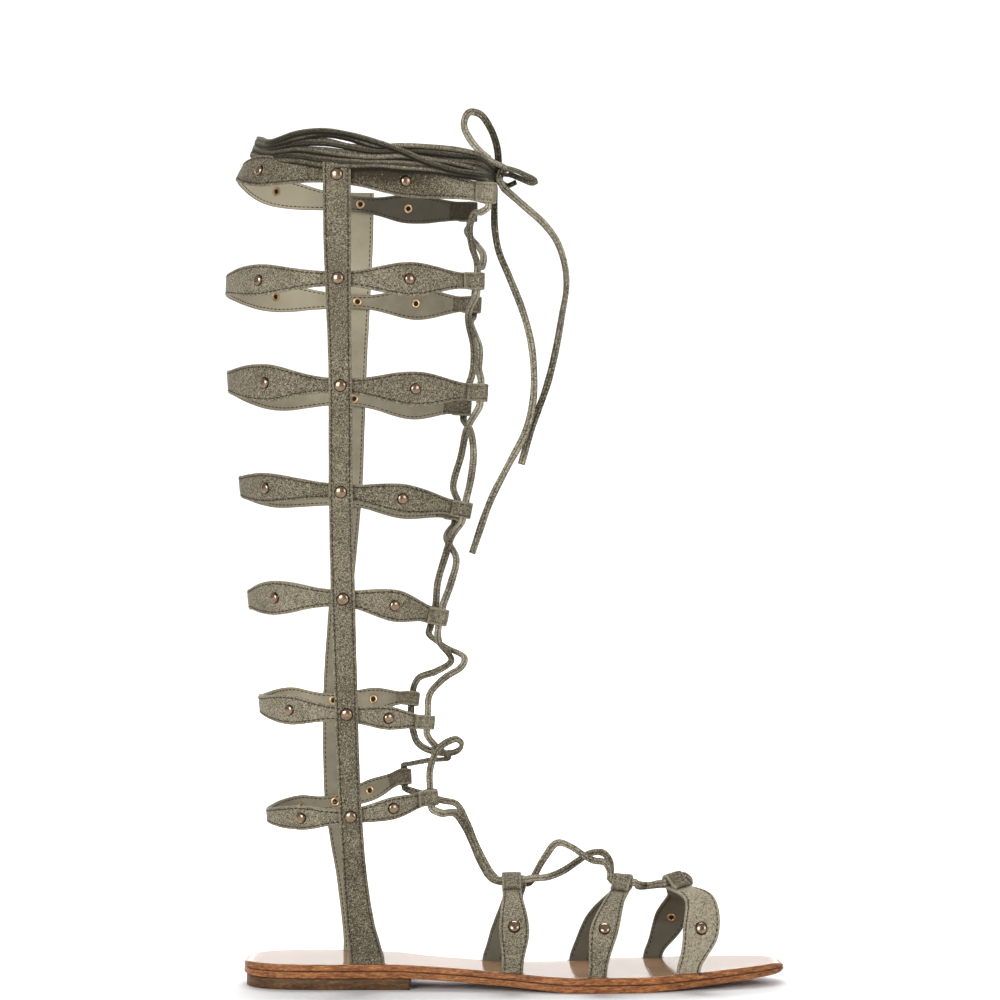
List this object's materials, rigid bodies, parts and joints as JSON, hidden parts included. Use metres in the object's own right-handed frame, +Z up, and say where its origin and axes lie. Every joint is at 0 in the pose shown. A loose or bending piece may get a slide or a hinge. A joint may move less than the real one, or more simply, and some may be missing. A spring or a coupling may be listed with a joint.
{
  "type": "gladiator sandal",
  "caption": "Knee-high gladiator sandal: a flat leather sole with slim straps, a riveted cage of leg bands and a lace up the front tied in a bow.",
  "frame": {"origin": "middle of the heel lift's flat underside, on the floor plane", "axes": "+X towards the toe, +Y towards the inner (medial) side of the foot, +Z up the leg"},
  "size_m": [0.2655, 0.111, 0.4147],
  "materials": {
    "suede": "napped suede",
    "lace_suede": "napped suede thong",
    "sole_leather": "burnished edge",
    "insole_leather": "glossy",
    "lift_leather": "stacked, matte",
    "rose_gold": "polished rose gold"
  },
  "bodies": {
    "root": {"band_1_top": "suede", "band_2": "suede", "band_3": "suede", "band_4": "suede", "band_5": "suede", "band_6": "suede", "band_7_ankle": "suede", "foot_strap_1_lateral": "suede", "foot_strap_1_medial": "suede", "foot_strap_2_lateral": "suede", "foot_strap_2_medial": "suede", "foot_strap_3_lateral": "suede", "foot_strap_3_medial": "suede", "heel_lift": "lift_leather", "insole": "insole_leather", "lace_bow_short": "lace_suede", "lace_bow_tall": "lace_suede", "lace_crossing_1": "lace_suede", "lace_crossing_2": "lace_suede", "lace_crossing_3": "lace_suede", "lace_crossing_4": "lace_suede", "lace_crossing_5": "lace_suede", "lace_crossing_6": "lace_suede", "lace_crossing_7": "lace_suede", "lace_crossing_8": "lace_suede", "lace_crossing_9": "lace_suede", "lace_end_long": "lace_suede", "lace_end_short": "lace_suede", "lace_knot": "lace_suede", "lace_wrap": "lace_suede", "outsole": "sole_leather", "rivet_1_lateral": "rose_gold", "rivet_1_medial": "rose_gold", "rivet_2_lateral": "rose_gold", "rivet_2_medial": "rose_gold", "rivet_3_lateral": "rose_gold", "rivet_3_medial": "rose_gold", "rivet_4_lateral": "rose_gold", "rivet_4_medial": "rose_gold", "rivet_5_lateral": "rose_gold", "rivet_5_medial": "rose_gold", "rivet_6_lateral": "rose_gold", "rivet_6_medial": "rose_gold", "rivet_7_lateral": "rose_gold", "rivet_7_medial": "rose_gold", "side_stay_lateral": "suede", "side_stay_medial": "suede"}
  },
  "joints": []
}
